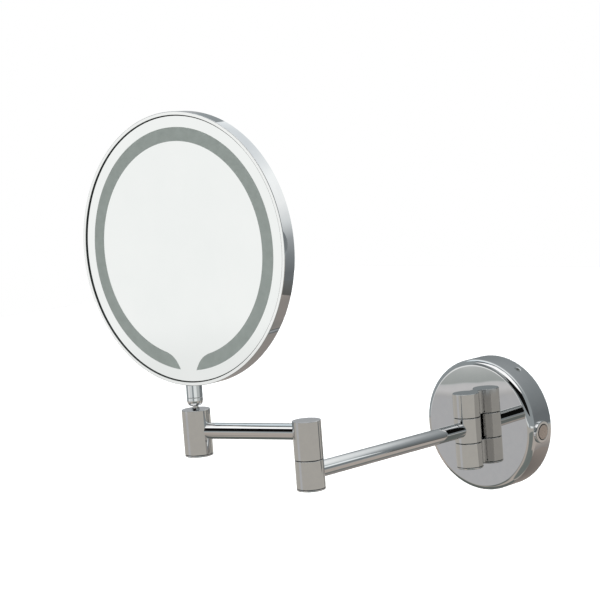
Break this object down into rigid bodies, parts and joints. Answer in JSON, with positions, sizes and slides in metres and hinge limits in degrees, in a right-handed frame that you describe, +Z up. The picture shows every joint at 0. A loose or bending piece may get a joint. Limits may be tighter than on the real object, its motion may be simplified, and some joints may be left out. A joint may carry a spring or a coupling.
{
  "type": "extendable shaving mirror",
  "caption": "Lit round shaving mirror on two swinging chromed arms, with a ball-jointed head and a push switch in the rim of its wall rose.",
  "frame": {"origin": "centre of the wall rose on the wall plane", "axes": "+Z up, +Y into the wall, +X to the right as seen from the room"},
  "size_m": [0.2463, 0.2524, 0.3161],
  "materials": {
    "chrome_plate": "bright chromium plate on brass",
    "switch_metal": "satin chromed button",
    "zinc_steel": "zinc-plated steel",
    "spring_steel": "bare spring steel",
    "bare_brass": "machined brass",
    "black_nylon": "black nylon",
    "soft_rubber": "black rubber",
    "white_plastic": "moulded white plastic",
    "lead_sheath": "white two-core lead",
    "clear_glass": "float glass with polished edge",
    "silvering": "silvered back of the glass",
    "foam_tape": "grey foam tape",
    "opal_plastic": "opal diffuser",
    "circuit_board": "white solder mask",
    "led_phosphor": "yellow phosphor in a white body",
    "cover_metal": "polished aluminium"
  },
  "bodies": {
    "wall_mount": {"wall_bracket": "zinc_steel", "rose_shell": "chrome_plate", "rose_backing_plate": "zinc_steel", "rose_grub_screws": "zinc_steel", "cable_grommet": "soft_rubber", "terminal_block": "white_plastic", "terminal_screws": "zinc_steel", "led_driver": "white_plastic", "switch_bezel": "chrome_plate", "switch_gasket": "soft_rubber", "switch_nut": "bare_brass", "switch_contact_block": "black_nylon", "switch_spring": "spring_steel", "hinge_ear_upper": "chrome_plate", "hinge_ear_lower": "chrome_plate", "hinge_ear_screws": "zinc_steel", "wall_pivot_upper": "bare_brass", "wall_pivot_lower": "bare_brass", "wall_hinge_washers": "black_nylon", "wall_hinge_cap": "chrome_plate", "supply_lead": "lead_sheath", "driver_lead": "lead_sheath", "hinge_lead": "lead_sheath"},
    "switch_button": {"switch_button": "switch_metal"},
    "lower_arm": {"wall_hinge_ring": "chrome_plate", "lower_arm_tube": "chrome_plate", "elbow_lower_knuckle": "chrome_plate", "elbow_cap": "chrome_plate", "elbow_washer": "black_nylon", "elbow_disc_spring": "spring_steel", "lower_arm_lead": "lead_sheath"},
    "upper_arm": {"elbow_upper_knuckle": "chrome_plate", "elbow_pivot_bolt": "bare_brass", "upper_arm_tube": "chrome_plate", "head_post": "chrome_plate", "head_post_cap": "chrome_plate", "upper_arm_lead": "lead_sheath"},
    "ball_stud": {"ball_stud": "chrome_plate", "stud_nut": "bare_brass", "stud_washer": "black_nylon", "stud_disc_spring": "spring_steel", "stud_lead": "lead_sheath"},
    "ball_seat": {"ball_seat": "black_nylon"},
    "mirror_head": {"socket_collar": "chrome_plate", "neck_socket": "chrome_plate", "ball_lead": "lead_sheath", "rim_band": "chrome_plate", "mirror_glass": "clear_glass", "mirror_silvering": "silvering", "glass_tape": "foam_tape", "head_tray": "white_plastic", "neck_block": "bare_brass", "neck_block_screws": "zinc_steel", "light_diffuser": "opal_plastic", "led_board": "circuit_board", "leds": "led_phosphor", "rear_cover": "cover_metal", "rear_cover_screws": "zinc_steel", "head_lead": "lead_sheath"}
  },
  "joints": [
    {"name": "wall_hinge", "type": "hinge", "parent": "wall_mount", "child": "lower_arm", "pos_m": [0, -0.038, 0], "axis": [0, 0, 1], "range_deg": [-87.8, 92.2]},
    {"name": "elbow_hinge", "type": "hinge", "parent": "lower_arm", "child": "upper_arm", "pos_m": [-0.0067, -0.21237, 0.0094], "axis": [0, 0, 1], "range_deg": [-111, 249]},
    {"name": "post_swivel", "type": "hinge", "parent": "upper_arm", "child": "ball_stud", "pos_m": [-0.09095, -0.24105, 0.043], "axis": [0, 0, 1], "range_deg": [-180, 180]},
    {"name": "mirror_tilt", "type": "hinge", "parent": "ball_stud", "child": "ball_seat", "pos_m": [-0.09095, -0.24105, 0.0511], "axis": [0.9972, 0.075, 0], "range_deg": [-20, 20], "deforming": ["ball_lead"]},
    {"name": "mirror_roll", "type": "hinge", "parent": "ball_seat", "child": "mirror_head", "pos_m": [-0.09095, -0.24105, 0.0511], "axis": [0.075, -0.9971, 0.0157], "range_deg": [-15, 15]},
    {"name": "switch_press", "type": "slide", "parent": "wall_mount", "child": "switch_button", "axis": [-0.9981, 0, 0.061], "range_m": [0, 0.0015], "stiffness_N_per_m": 1000, "springref_m": -0.001, "deforming": ["switch_spring"]}
  ]
}
